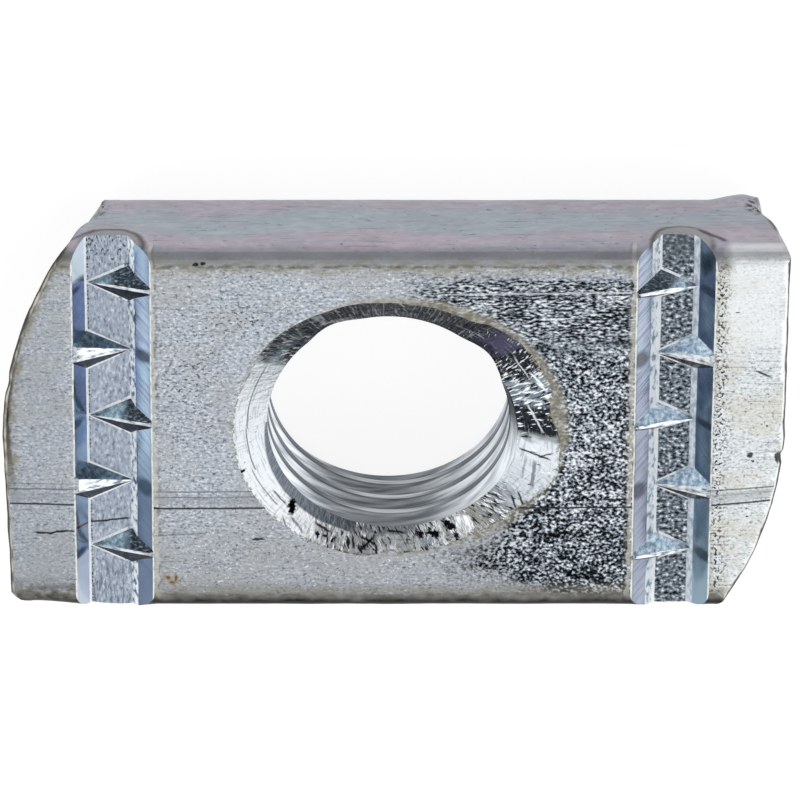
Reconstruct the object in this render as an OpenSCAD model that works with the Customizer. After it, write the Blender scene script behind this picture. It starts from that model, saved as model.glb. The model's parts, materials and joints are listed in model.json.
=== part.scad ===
// Channel nut: a cropped steel bar nut that turns a quarter turn inside a slotted channel
// and bites on the channel's lips with two toothed grooves.
// X runs along the nut, Y across it, Z up out of the toothed face; the nut lies on its back at Z = 0
// with its middle on the Z axis. The threaded hole was punched a little off that middle.

/* [Blank] */
// Overall length at the toothed face, which is also the circle that the nut turns in
nut_l = 34.4; // [32:0.1:45]
// Width across the rolled sides
nut_w = 18.5; // [15:0.1:24]
// Thickness from the back to the toothed face
nut_t = 6; // [4.5:0.1:12]
// How far each cropped end draws in between the toothed face and the back
end_draw = 1.1; // [0.1:0.1:1.8]
// How much is broken off the tip of each square corner
corner_break = 0.3; // [0.1:0.1:0.8]
// Radius of the rolled edges along the toothed face
face_edge_r = 0.9; // [0.3:0.1:1.6]
// Radius of the rolled edges along the back
back_edge_r = 2; // [0.3:0.1:2.4]

/* [Threaded hole] */
// Diameter inside the crests of the thread
bore_d = 10.7; // [8:0.1:13]
// How far the hole sits off the middle of the nut, along its length
bore_x = -0.18; // [-0.5:0.02:0.5]
// How far the countersink in the toothed face reaches out past the bore
face_sink_w = 1.45; // [0.2:0.05:2]
// Depth of the countersink in the toothed face
face_sink_depth = 1; // [0.2:0.05:1.5]
// How far the chamfer in the back reaches out past the bore
back_sink_w = 0.9; // [0.2:0.05:1.5]
// Depth of the chamfer in the back
back_sink_depth = 0.95; // [0.2:0.05:2]

/* [Grooves] */
// Distance between the middles of the two grooves
groove_spacing = 24.5; // [22.5:0.1:26]
// Width of a groove at the toothed face
groove_w = 3.5; // [2.6:0.05:4.4]
// Width of a groove's flat floor
groove_floor_w = 2.05; // [1.5:0.05:2.5]
// Depth of a groove
groove_depth = 1; // [0.5:0.05:1.5]

/* [Teeth] */
// Number of teeth in each groove
teeth = 5; // [3:1:7]
// Distance from each side of the nut to the crest of the nearest tooth, with the row centred
tooth_margin = 2.55; // [2.2:0.05:4]
// How far the rows of teeth sit off the middle of the nut
tooth_shift = 0.3; // [0:0.05:0.5]
// Width of a tooth at its root, under the edge of the groove
tooth_w = 2.3; // [1:0.1:2.6]

/* [Hidden] */
$fn = 96;
turn_r = nut_l / 2;
bore_r = bore_d / 2;
groove_wall_run = (groove_w - groove_floor_w) / 2;
tooth_reach = groove_floor_w + groove_wall_run;
tooth_pitch = (nut_w - 2 * tooth_margin) / (teeth - 1);
// What a cutter reaches past the surface that it opens, and a tooth below the floor that it stands on
over = 1;
tooth_root_depth = 0.3;

// Section across the bar: flat sides and faces with rolled edges, in Y and Z
module bar_section() {
    side = nut_w / 2;
    polygon([
        [-side, back_edge_r], [-side + back_edge_r, 0],
        [side - back_edge_r, 0], [side, back_edge_r],
        [side, nut_t - face_edge_r], [side - face_edge_r, nut_t],
        [-side + face_edge_r, nut_t], [-side, nut_t - face_edge_r]
    ]);
    for (way = [-1, 1]) {
        translate([way * (side - back_edge_r), back_edge_r]) circle(r = back_edge_r);
        translate([way * (side - face_edge_r), nut_t - face_edge_r]) circle(r = face_edge_r);
    }
}

module bar() {
    rotate([90, 0, 90]) linear_extrude(height = nut_l, center = true) bar_section();
}

// One square end corner: the half of the nut's end that is cropped straight across
module square_corner() {
    translate([0, nut_w / 2, 0]) rotate([90, 0, 0]) linear_extrude(height = nut_w / 2)
        polygon([[0, 0], [turn_r - end_draw, 0], [turn_r, nut_t], [0, nut_t]]);
}

// Outline that the ends are cropped to: two corners follow the turning circle, two stay square
module end_outline() {
    tip_r = norm([turn_r, nut_w / 2]) - corner_break;
    cylinder(h = nut_t, r1 = turn_r - end_draw, r2 = turn_r);
    intersection() {
        union() {
            square_corner();
            rotate([0, 0, 180]) square_corner();
        }
        cylinder(h = nut_t, r1 = tip_r - end_draw, r2 = tip_r);
    }
}

module blank() {
    intersection() {
        bar();
        end_outline();
    }
}

// Bore at the thread's crests, with a countersink in the toothed face and a chamfer in the back
module bore_cut() {
    face_slope = face_sink_w / face_sink_depth;
    back_slope = back_sink_w / back_sink_depth;
    translate([0, 0, -over]) cylinder(h = nut_t + 2 * over, r = bore_r);
    translate([0, 0, nut_t - face_sink_depth])
        cylinder(h = face_sink_depth + over, r1 = bore_r, r2 = bore_r + face_sink_w + over * face_slope);
    translate([0, 0, -over])
        cylinder(h = back_sink_depth + over, r1 = bore_r + back_sink_w + over * back_slope, r2 = bore_r);
}

// Straight groove across the face, centred on X = 0
module groove_cut() {
    half_floor = groove_floor_w / 2;
    half_top = half_floor + groove_wall_run * (groove_depth + over) / groove_depth;
    translate([0, nut_w / 2 + over, nut_t - groove_depth]) rotate([90, 0, 0])
        linear_extrude(height = nut_w + 2 * over)
            polygon([
                [-half_floor, 0], [half_floor, 0],
                [half_top, groove_depth + over], [-half_top, groove_depth + over]
            ]);
}

// One tooth: its crest rises from the foot of the far wall (-X) to the top edge of its own wall (X = 0)
module tooth() {
    half = tooth_w / 2;
    polyhedron(
        points = [
            [-tooth_reach, 0, -tooth_root_depth], [0, half, -tooth_root_depth], [0, -half, -tooth_root_depth],
            [-tooth_reach, 0, 0], [0, half, 0], [0, -half, 0],
            [0, 0, groove_depth]
        ],
        faces = [
            [0, 2, 1], [0, 1, 4, 3], [2, 0, 3, 5], [1, 2, 5, 6, 4],
            [3, 4, 6], [5, 3, 6]
        ]
    );
}

// Teeth of the groove on the +X side: every other one stands on the wall nearer the hole
module tooth_row() {
    for (i = [0 : teeth - 1]) {
        inner = i % 2 == 0;
        translate([
            groove_spacing / 2 + (inner ? -1 : 1) * groove_w / 2,
            (i - (teeth - 1) / 2) * tooth_pitch + tooth_shift,
            nut_t - groove_depth
        ])
            mirror([inner ? 1 : 0, 0, 0]) tooth();
    }
}

module channel_nut() {
    color([0.72, 0.73, 0.75]) {
        difference() {
            blank();
            translate([bore_x, 0, 0]) bore_cut();
            for (way = [-1, 1]) translate([way * groove_spacing / 2, 0, 0]) groove_cut();
        }
        tooth_row();
        mirror([1, 0, 0]) tooth_row();
    }
}

channel_nut();
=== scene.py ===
import json
import math

import bmesh
import bpy
from mathutils import Matrix, Vector, noise


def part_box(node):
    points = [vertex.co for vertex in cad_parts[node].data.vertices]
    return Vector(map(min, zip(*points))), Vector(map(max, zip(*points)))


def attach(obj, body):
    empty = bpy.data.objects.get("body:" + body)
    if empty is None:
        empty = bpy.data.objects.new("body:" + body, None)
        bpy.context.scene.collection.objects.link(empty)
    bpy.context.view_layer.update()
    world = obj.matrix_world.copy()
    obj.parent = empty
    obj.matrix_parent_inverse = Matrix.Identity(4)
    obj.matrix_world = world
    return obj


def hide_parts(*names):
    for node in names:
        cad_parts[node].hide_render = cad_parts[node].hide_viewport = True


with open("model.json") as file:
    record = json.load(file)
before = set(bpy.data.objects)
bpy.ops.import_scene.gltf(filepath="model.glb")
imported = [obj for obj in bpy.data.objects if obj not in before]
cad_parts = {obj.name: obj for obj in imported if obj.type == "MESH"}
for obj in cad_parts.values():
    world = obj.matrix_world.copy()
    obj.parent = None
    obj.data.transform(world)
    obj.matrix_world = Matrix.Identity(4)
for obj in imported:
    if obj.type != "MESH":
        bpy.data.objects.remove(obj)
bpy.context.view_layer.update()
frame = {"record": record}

# The nut is shaped in millimetres, in the frame's axes, and scaled to metres when it is whole.
MM = 0.001
low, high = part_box("channel_nut")
nut_l, nut_w, nut_t = (high - low) / MM
mounts = {m["name"]: m for m in frame["record"]["mounts"]}

# Driving sizes, in millimetres
bore_r = mounts["thread"]["dims"]["r_mm"]
groove_x = mounts["right_lip_seat"]["pos_m"][0] / MM
groove_depth = nut_t - mounts["right_lip_seat"]["pos_m"][2] / MM
groove_w = 3.5
turn_r = nut_l / 2
face_edge_r = 0.9
back_edge_r = 2.0
end_draw = 1.1
corner_draw = 0.75
bore_x = mounts["thread"]["pos_m"][0] / MM
bore_pinch = 0.042
end_roll = 0.22
thread_depth = 0.66
thread_pitch = 1.25
thread_start = -1.15
thread_turns = 5.15
sink_depth = 1.0
sink_centre = (0.31, 0.27)
sink_reach = (7.13, 6.36)
back_sink_w = 0.9
back_sink_depth = 0.95
teeth = 5
tooth_pitch = 3.35
cell = 0.28

# Material slots of the nut, in this order
SKIN, END, WALL, FLOOR, FOOT, FLANK, CREST, SINK, THREAD = range(9)


def new_object(name, bm):
    """Object at the origin from a finished bmesh."""
    mesh = bpy.data.meshes.new(name)
    bm.to_mesh(mesh)
    bm.free()
    item = bpy.data.objects.new(name, mesh)
    bpy.context.scene.collection.objects.link(item)
    return item


# ---------------------------------------------------------------- blank

def trim(bm, point, normal):
    """Cuts away what lies past a plane and closes the cut as sheared metal."""
    geom = bm.verts[:] + bm.edges[:] + bm.faces[:]
    cut = bmesh.ops.bisect_plane(bm, geom=geom, plane_co=point, plane_no=normal, clear_outer=True)
    rim = [e for e in cut["geom_cut"] if isinstance(e, bmesh.types.BMEdge)]
    if rim:
        bmesh.ops.edgeloop_fill(bm, edges=rim, mat_nr=END)


def trim_end(bm, radius, turn, draw):
    """One tangent plane of an end, slanted by what it draws in, and its rolled-over top edge."""
    out = Vector((math.cos(turn), math.sin(turn), 0))
    up = Vector((0, 0, 1))
    slant = math.atan2(draw, nut_t)
    trim(bm, out * radius + up * nut_t, out * math.cos(slant) - up * math.sin(slant))
    middle = out * (radius - end_roll) + up * (nut_t - end_roll)
    for tilt in (22.5, 45, 67.5):
        normal = out * math.cos(math.radians(tilt)) + up * math.sin(math.radians(tilt))
        trim(bm, middle + normal * end_roll, normal)


def blank():
    """Rolled bar with round long edges, cropped at both ends: two corners follow the turning circle."""
    bm = bmesh.new()
    bmesh.ops.create_cube(bm, size=1)
    bmesh.ops.scale(bm, vec=(nut_l + 0.4, nut_w, nut_t), verts=bm.verts)
    bmesh.ops.translate(bm, vec=(0, 0, nut_t / 2), verts=bm.verts)
    for height, radius in ((nut_t, face_edge_r), (0, back_edge_r)):
        corners = [v for v in bm.verts if abs(v.co.z - height) < 0.01 and abs(abs(v.co.y) - nut_w / 2) < 0.01]
        long_edges = [
            e for e in bm.edges
            if all(v in corners for v in e.verts) and abs(e.verts[0].co.x - e.verts[1].co.x) > 1
        ]
        bmesh.ops.bevel(
            bm, geom=long_edges, offset=radius, segments=8, profile=0.5, affect="EDGES", material=-1
        )
    arc = math.asin(nut_w / 2 / turn_r)
    steps = 20
    for end, lean, corner_r, swell, sag in ((0, 0.0, 0.5, 0.08, 0.0), (math.pi, 1.2, 1.7, 0.0, 0.25)):
        lean = math.radians(lean)
        trim_end(bm, (turn_r + swell) * math.cos(lean), end + lean, end_draw)
        for i in range(steps + 1):
            share = i / steps
            radius = turn_r + swell * (1 - share) - sag * share * (1.7 - share)
            trim_end(bm, radius, end - arc * share, end_draw + corner_draw * share)
        for i in range(1, 8):
            turn = math.pi / 2 * i / 8
            flat = (turn_r + swell - corner_r) * math.cos(turn) + (nut_w / 2 - corner_r) * math.sin(turn)
            trim_end(bm, flat + corner_r, end + turn, end_draw * math.cos(turn) ** 2)
    return new_object("channel_nut_body", bm)


# ---------------------------------------------------------------- cutters

def seat(side, shift, skew):
    """Where a groove and its teeth sit: on the groove's line, shifted and skewed as the press left them."""
    pivot = 6.8
    place = Matrix.Translation((side * groove_x + shift, pivot, nut_t))
    return place @ Matrix.Rotation(math.radians(skew), 4, "Z") @ Matrix.Translation((0, -pivot, 0))


def groove(side, place, inner_wall, inner_foot, outer_wall, outer_foot):
    """Cutter of one groove. A wall is its run, a foot is the run and rise of the narrow strip below it,
    which is coloured as a painted highlight.
    """
    edge = 0.07
    over = 1.0
    half = groove_w / 2 - edge
    d = -groove_depth
    profile = [
        (-half - edge - over, over), (-half, -edge),
        (-half + inner_wall, d + inner_foot[1]), (-half + inner_wall + inner_foot[0], d),
        (half - outer_wall - outer_foot[0], d), (half - outer_wall, d + outer_foot[1]),
        (half, -edge), (half + edge + over, over),
    ]
    skins = [END, FOOT, WALL, FOOT, FLOOR, FOOT, WALL, FOOT]
    length = nut_w + 4
    bm = bmesh.new()
    face = bm.faces.new([bm.verts.new((side * x, -length / 2, z)) for x, z in profile])
    far = bmesh.ops.extrude_face_region(bm, geom=[face])["geom"]
    bmesh.ops.translate(bm, vec=(0, length, 0), verts=[v for v in far if isinstance(v, bmesh.types.BMVert)])
    bmesh.ops.recalc_face_normals(bm, faces=bm.faces)
    middles = [
        Vector((side * (profile[i][0] + profile[i - 1][0]) / 2, 0, (profile[i][1] + profile[i - 1][1]) / 2))
        for i in range(len(profile))
    ]
    for f in bm.faces:
        centre = f.calc_center_median()
        f.material_index = skins[min(range(len(skins)), key=lambda i: (middles[i] - centre).length)]
    bmesh.ops.transform(bm, matrix=place, verts=bm.verts)
    return new_object("groove_cutter", bm)


def hull(points, skin):
    """Convex solid round a set of points, with the slot that skin gives for each face."""
    bm = bmesh.new()
    for point in points:
        bm.verts.new(point)
    bmesh.ops.convex_hull(bm, input=bm.verts)
    bmesh.ops.dissolve_limit(bm, angle_limit=0.01, verts=bm.verts, edges=bm.edges)
    bmesh.ops.recalc_face_normals(bm, faces=bm.faces)
    for f in bm.faces:
        f.material_index = skin(f)
    return new_object("hull", bm)


# Teeth by side, +1 for the right groove, and by whether they stand on the wall nearer the hole: reach from
# the wall to the tip, spread of the root to +Y and to -Y, the crest's two edges at the wall, and half its
# width midway
TEETH = {
    (1, True): (2.94, 1.45, 0.80, (0.00, 0.14), 0.11),
    (1, False): (2.70, 1.42, 1.20, (-0.12, 0.38), 0.0),
    (-1, True): (2.94, 1.45, 1.45, (0.00, 0.14), 0.07),
    (-1, False): (2.66, 1.26, 1.32, (-0.12, 0.60), 0.0),
}


def tooth(body, side, place, inner, y):
    """One tooth: its tip at the foot of the far wall, its flat crest rising to the top of its own wall,
    and a narrow fillet along its root, coloured as a painted highlight."""
    reach, spread_up, spread_down, crest, belly = TEETH[side, inner]
    own = -1 if inner else 1
    wall_x = own * (groove_w / 2 + 0.02)
    edge_x = wall_x - own * 0.24
    tip_x = wall_x - own * reach
    fillet, rise = 0.09, 0.07
    drop = -0.015

    def at(x, ty, z):
        return place @ Vector((side * x, y + ty, z))

    low = -groove_depth
    foot = [at(tip_x, 0, low), at(wall_x, spread_up, low), at(wall_x, -spread_down, low)]
    top = [at(edge_x, crest[0], drop), at(edge_x, crest[1], drop)]
    top += [at(wall_x, crest[0] - 0.08, drop), at(wall_x, crest[1] + 0.08, drop)]
    middle = foot[0].lerp((top[0] + top[1]) / 2, 0.5)
    lens = [middle + Vector((0, belly, 0)), middle - Vector((0, belly, 0))] if belly else []
    deep = Vector((0, 0, 0.3))
    combine(body, hull(
        foot + [point - deep for point in foot] + top + lens,
        lambda f: SKIN if f.normal.z > 0.995 else CREST if f.normal.z > 0.85 else FLANK,
    ), "UNION")
    up = rise / groove_depth
    ring = [foot[0].lerp(top[0], up), foot[1].lerp(top[3], up), foot[2].lerp(top[2], up)]
    low -= 0.01
    skirt = [at(tip_x - own * fillet, 0, low)]
    skirt += [at(wall_x, spread_up + fillet, low), at(wall_x, -spread_down - fillet, low)]
    combine(body, hull(ring + skirt, lambda f: FOOT), "UNION")


# How far the countersink's rim stands out of its ellipse, in millimetres, at angles in degrees from +X
RIM = [
    (-180, 0.20), (-150, 0.36), (-125, 0.48), (-106, 0.42), (-92, 0.10), (-80, 0.02), (-55, -0.20),
    (-40, -0.10), (-22, 0.34), (-10, 0.05), (8, -0.45), (20, -0.10), (45, 0.02), (67, -0.25), (90, -0.06),
    (110, 0.15), (140, 0.32), (155, 0.15), (180, 0.20),
]


def rim_push(turn):
    """Smooth value of RIM at an angle in radians."""
    turn = math.degrees(turn)
    for (start, a), (stop, b) in zip(RIM, RIM[1:]):
        if turn <= stop:
            share = (turn - start) / (stop - start)
            return a + (b - a) * share * share * (3 - 2 * share)
    return RIM[-1][1]


def sink_cutter():
    """Countersink: a torn, eccentric cone that opens from the bore to the face."""
    steps, rows = 320, 13
    over = 0.4
    base = nut_t - sink_depth
    bm = bmesh.new()
    verts = [bm.verts.new((bore_r - 1, 0, base - 0.12))]
    verts += [bm.verts.new((bore_r, 0, base + i / rows * (sink_depth + over))) for i in range(rows + 1)]
    edges = [bm.edges.new(pair) for pair in zip(verts, verts[1:])]
    bmesh.ops.spin(
        bm, geom=verts + edges, cent=(0, 0, 0), axis=(0, 0, 1), angle=2 * math.pi, steps=steps, use_merge=True
    )
    for v in bm.verts:
        t = (v.co.z - base) / sink_depth
        if t < -0.01:
            continue
        turn = math.atan2(v.co.y, v.co.x)
        ray = Vector((math.cos(turn), math.sin(turn), 0))
        rim = Vector((sink_centre[0] + sink_reach[0] * ray.x, sink_centre[1] + sink_reach[1] * ray.y, 0))
        rim += ray * rim_push(turn)
        spot = (ray * bore_r + Vector((bore_x, 0, 0))).lerp(rim, t)
        # Chatter: deep on the right and along the bottom, faint on the left
        torn = 0.25 + 0.75 * max(0, min(1, 0.55 + 0.8 * ray.x - 0.35 * ray.y))
        wave = noise.noise(ray * 9 + Vector((0, 0, t * 1.4)))
        chip = noise.noise(ray * 26 + Vector((3, 1, t * 3.0)))
        push = torn * min(1, t * 2.5) * (0.16 * wave + 0.11 * chip)
        v.co.x, v.co.y = spot.x + ray.x * push, spot.y + ray.y * push
        v.co.z += 0.5 * push * (1 if t < 1 else 0)
    bmesh.ops.holes_fill(bm, edges=[e for e in bm.edges if e.is_boundary])
    bmesh.ops.recalc_face_normals(bm, faces=bm.faces)
    for f in bm.faces:
        f.material_index = SINK
    return new_object("sink_cutter", bm)


def bore_cutter():
    """Plain bore, which the thread is cut into."""
    bm = bmesh.new()
    bmesh.ops.create_cone(
        bm, cap_ends=True, segments=192, radius1=bore_r, radius2=bore_r, depth=nut_t + 2,
        matrix=Matrix.Translation((bore_x, 0, nut_t / 2)),
    )
    for f in bm.faces:
        f.material_index = THREAD
    return new_object("bore_cutter", bm)


def back_sink_cutter():
    """Chamfer in the back, wider than the bore at Z = 0 and meeting it at back_sink_depth."""
    over = 0.5
    slope = back_sink_w / back_sink_depth
    depth = back_sink_depth + 2 * over
    bm = bmesh.new()
    bmesh.ops.create_cone(
        bm, cap_ends=True, segments=192, depth=depth,
        radius1=bore_r + back_sink_w + slope * over, radius2=bore_r - slope * over,
        matrix=Matrix.Translation((bore_x, 0, depth / 2 - over)),
    )
    for f in bm.faces:
        f.material_index = THREAD
    return new_object("back_sink_cutter", bm)


def thread_cutter():
    """Right-hand helical V groove, swept past both mouths of the bore."""
    mouth, root, inside = 0.47, 0.07, 0.2
    slope = (mouth - root) / thread_depth
    per_turn = 96
    steps = round(per_turn * thread_turns)
    bm = bmesh.new()
    profile = [
        (bore_r - inside, mouth + slope * inside), (bore_r + thread_depth, root),
        (bore_r + thread_depth, -root), (bore_r - inside, -mouth - slope * inside),
    ]
    verts = [bm.verts.new((bore_x + r, 0, thread_start + z)) for r, z in profile]
    edges = [bm.edges.new((verts[i], verts[i - 1])) for i in range(len(verts))]
    bmesh.ops.spin(
        bm, geom=verts + edges, cent=(bore_x, 0, 0), axis=(0, 0, 1), dvec=(0, 0, thread_pitch / per_turn),
        angle=2 * math.pi * steps / per_turn, steps=steps,
    )
    # Over its last quarter turn the groove runs out to nothing
    for v in bm.verts:
        turn = math.atan2(v.co.y, v.co.x - bore_x) / (2 * math.pi)
        turn += round((v.co.z - thread_start) / thread_pitch - turn)
        fade = min(1, (thread_turns - turn) / 0.25 + 0.05)
        reach = math.hypot(v.co.x - bore_x, v.co.y)
        scale = (bore_r - inside + (reach - bore_r + inside) * fade) / reach
        v.co.x, v.co.y = bore_x + (v.co.x - bore_x) * scale, v.co.y * scale
    bmesh.ops.holes_fill(bm, edges=[e for e in bm.edges if e.is_boundary])
    bmesh.ops.recalc_face_normals(bm, faces=bm.faces)
    for f in bm.faces:
        f.material_index = THREAD
    return new_object("thread_cutter", bm)


def combine(body, tool, operation):
    """Applies a Boolean of the tool to the body, keeping the tool's slots, and removes the tool."""
    change = body.modifiers.new("change", "BOOLEAN")
    change.object = tool
    change.operation = operation
    change.solver = "MANIFOLD"
    change.material_mode = "INDEX"
    bpy.context.view_layer.update()
    shaped = bpy.data.meshes.new_from_object(body.evaluated_get(bpy.context.evaluated_depsgraph_get()))
    body.modifiers.clear()
    body.data = shaped
    bpy.data.objects.remove(tool)


# ---------------------------------------------------------------- wear

def slice_up(bm):
    """Cuts the faces outside the thread along a grid, so that wear has points to move."""
    for axis, start, stop in ((0, -nut_l / 2, nut_l / 2), (1, -nut_w / 2, nut_w / 2), (2, 0, nut_t)):
        count = round((stop - start) / cell)
        normal = Vector([float(i == axis) for i in range(3)])
        for i in range(1, count):
            faces = [f for f in bm.faces if f.material_index not in (THREAD, SINK)]
            near = {e for f in faces for e in f.edges} | {v for f in faces for v in f.verts}
            bmesh.ops.bisect_plane(
                bm, geom=faces + list(near), plane_co=normal * (start + (stop - start) * i / count),
                plane_no=normal, dist=1e-5,
            )


# Knocks, burrs and bulges: centre, reach along each axis, and push, in millimetres
KNOCKS = [
    ((16.6, 9.25, 1.9), (1.7, 1.8, 2.1), (-0.55, 0, 0)),
    ((15.4, 9.25, 1.0), (1.7, 1.2, 1.6), (0, 0.26, -0.06)),
    ((-13.3, 9.0, 2.7), (1.1, 1.0, 1.3), (0.42, -0.05, 0)),
    ((-12.25, -9.25, 4.9), (2.2, 1.4, 1.5), (0, -0.18, 0.02)),
    ((12.25, -9.25, 4.9), (2.2, 1.4, 1.5), (0, -0.10, 0.02)),
    ((-12.25, 9.25, 4.7), (2.6, 1.2, 1.1), (0, 0.16, -0.06)),
    ((12.25, 9.25, 4.7), (2.6, 1.2, 1.1), (0, 0.20, -0.10)),
    ((-15.9, -9.25, 5.0), (2.4, 1.6, 4.0), (0, 0.20, 0)),
    ((17.2, -1.2, 5.9), (0.5, 0.38, 0.6), (-0.10, 0, -0.10)),
    ((-17.1, 2.6, 5.9), (0.5, 0.7, 0.6), (0.08, 0, -0.06)),
    ((-2.6, 4.7, 5.0), (1.8, 1.0, 0.8), (-0.06, 0.16, 0)),
    ((4.2, 3.4, 4.7), (1.7, 1.9, 0.8), (0.27, 0.21, 0)),
]


def wear(bm):
    """Moves the points a little: rolling waves, uneven sheared ends, and the knocks above."""
    noise.seed_set(1)  # vector noise takes its seed from the clock otherwise
    sheared = {v for f in bm.faces if f.material_index == END for v in f.verts}
    cut = {v for f in bm.faces if f.material_index in (THREAD, SINK) for v in f.verts}
    for v in bm.verts:
        p = v.co.copy()
        calm = 0.0 if v in cut else 1.0
        move = noise.noise_vector(p * 0.45) * 0.018 * calm
        move += noise.noise_vector(p * 1.9) * 0.008 * calm
        if v in sheared:
            move += noise.noise_vector(p * 0.9 + Vector((7, 0, 0))) * 0.030
            move += noise.noise_vector(p * 2.7) * 0.014
        # The bore's -Y side is pinched in a little, fading out through the countersink
        reach = math.hypot(p.x - bore_x, p.y)
        if v in cut and p.y < 0:
            fade = max(0, min(1, (bore_r + thread_depth + 0.45 - reach) / 0.4))
            move.y -= bore_pinch * p.y * fade * max(0, min(1, nut_t - p.z))
        for centre, reach, push in KNOCKS:
            gap = Vector([(a - b) / c for a, b, c in zip(p, centre, reach)]).length_squared
            if gap < 1:
                move += Vector(push) * (1 - gap) ** 2
        v.co = p + move
        v.co.z = max(v.co.z, 0)


# ---------------------------------------------------------------- finishes

def tint(code):
    """Linear colour from an sRGB hex code."""
    parts = [int(code[i:i + 2], 16) / 255 for i in (1, 3, 5)]
    return (*[c / 12.92 if c <= 0.04045 else ((c + 0.055) / 1.055) ** 2.4 for c in parts], 1)


def add(tree, kind, links=None, stops=(), take=0, **settings):
    """Adds a node with its settings and ramp stops, and returns its output named take, or all with None.
    links gives its inputs as values or as other nodes' outputs."""
    node = tree.nodes.new("ShaderNode" + kind)
    for name, value in settings.items():
        setattr(node, name, value)
    for i, (place, code) in enumerate(stops):
        ramp = node.color_ramp.elements
        stop = ramp[i] if i < len(ramp) else ramp.new(place)
        stop.position, stop.color = place, tint(code)
    for key, value in (links or {}).items():
        if isinstance(value, bpy.types.NodeSocket):
            tree.links.new(value, node.inputs[key])
        else:
            node.inputs[key].default_value = value
    return node.outputs if take is None else node.outputs[take]


def start(name):
    """A new finish: its material, its tree and the place on the nut in millimetres."""
    material = bpy.data.materials.new(name)
    material.use_nodes = True
    tree = material.node_tree
    tree.nodes.clear()
    coords = add(tree, "TexCoord", take="Object")
    place = add(tree, "Mapping", {0: coords, 3: (1 / MM,) * 3})
    return material, tree, place


def grain(place, size, detail=2.0, seed=0.0):
    """Random texture with grains of about size millimetres along X, Y and Z."""
    tree = place.id_data
    scaled = add(tree, "Mapping", {0: place, 1: (seed,) * 3, 3: [1 / s for s in size]})
    noises = {"Vector": scaled, "Scale": 1.0, "Detail": detail}
    return add(tree, "TexNoise", noises)


def between(value, start, stop, soft):
    """1 where value lies from start to stop, falling to 0 over soft on each side. None leaves a side open."""
    sides = []
    for edge, outside in ((start, 0.0), (stop, 1.0)):
        if edge is not None:
            sides.append(add(value.id_data, "MapRange", {
                0: value, 1: edge - soft / 2, 2: edge + soft / 2, 3: outside, 4: 1 - outside,
            }))
    return both(*sides)


def both(*masks):
    """Where all the masks meet. A number among them sets the strength."""
    whole = masks[0]
    for mask in masks[1:]:
        whole = add(whole.id_data, "Math", {0: whole, 1: mask}, operation="MULTIPLY")
    return whole


def flecks(place, size, cover, seed=0.0, crowd=None, soft=0.05, detail=2.0):
    """1 in random flecks. They cover more as cover rises from 0 to 1, and more still where crowd is high."""
    texture = grain(place, size, detail, seed)
    if crowd is not None:
        crowded = {0: crowd, 1: 0.26, 2: texture}
        texture = add(place.id_data, "Math", crowded, operation="MULTIPLY_ADD")
    return between(texture, 0.78 - 0.5 * cover, None, soft)


def stroke(place, start, end, width, soft=0.05):
    """A straight line between two points on the face, width millimetres wide."""
    run = Vector(end) - Vector(start)
    turned = add(
        place.id_data, "Mapping", {0: place, 1: (*start, 0), 2: (0, 0, math.atan2(run.y, run.x))},
        vector_type="TEXTURE",
    )
    part = add(place.id_data, "SeparateXYZ", {0: turned}, take=None)
    return both(between(part[0], 0, run.length, 0.2), between(part[1], -width / 2, width / 2, soft))


def rounds(place, centre, reach):
    """Distance from a centre, 1 on the ellipse or ball of that reach. An axis left out has no say."""
    centre, reach = list(centre) + [0] * (3 - len(centre)), list(reach) + [1e6] * (3 - len(reach))
    local = add(place.id_data, "Mapping", {0: place, 1: centre, 3: reach}, vector_type="TEXTURE")
    return add(place.id_data, "VectorMath", {0: local}, operation="LENGTH", take="Value")


def stirred(place, size, amount):
    """The place, shaken by amount millimetres so that edges come out ragged."""
    tree = place.id_data
    scaled = add(tree, "Mapping", {0: place, 3: (1 / size,) * 3})
    random = add(tree, "TexNoise", {"Vector": scaled, "Scale": 1.0, "Detail": 2.0}, take=1)
    centred = add(tree, "VectorMath", {0: random, 1: (0.5,) * 3}, operation="SUBTRACT")
    shaken = {0: centred, 1: (2 * amount,) * 3, 2: place}
    return add(tree, "VectorMath", shaken, operation="MULTIPLY_ADD")


def layer(colour, coats=()):
    """Lays coats over a colour, each after its mask. A coat or colour is a hex code, an output, or a value
    and the colours along it."""
    def output(coat):
        if isinstance(coat, str):
            return tint(coat)
        if isinstance(coat, tuple):
            value, stops = coat
            return add(value.id_data, "ValToRGB", {0: value}, stops)
        return coat

    colour = output(colour)
    for mask, coat in coats:
        mixed = {0: mask, 6: colour, 7: output(coat)}
        colour = add(mask.id_data, "Mix", mixed, data_type="RGBA", take=2)
    return colour


def plate(colour, roughness, height, depth, metal=1.0):
    """Zinc plate: coloured metal with its roughness, and a relief of depth millimetres."""
    tree = colour.id_data
    relief = add(tree, "Bump", {"Strength": 1.0, "Distance": depth * MM, "Height": height})
    shader = add(tree, "BsdfPrincipled", {
        "Base Color": colour, "Metallic": metal, "Roughness": roughness, "Normal": relief,
    })
    add(tree, "OutputMaterial", {0: shader}, take=None)


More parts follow.
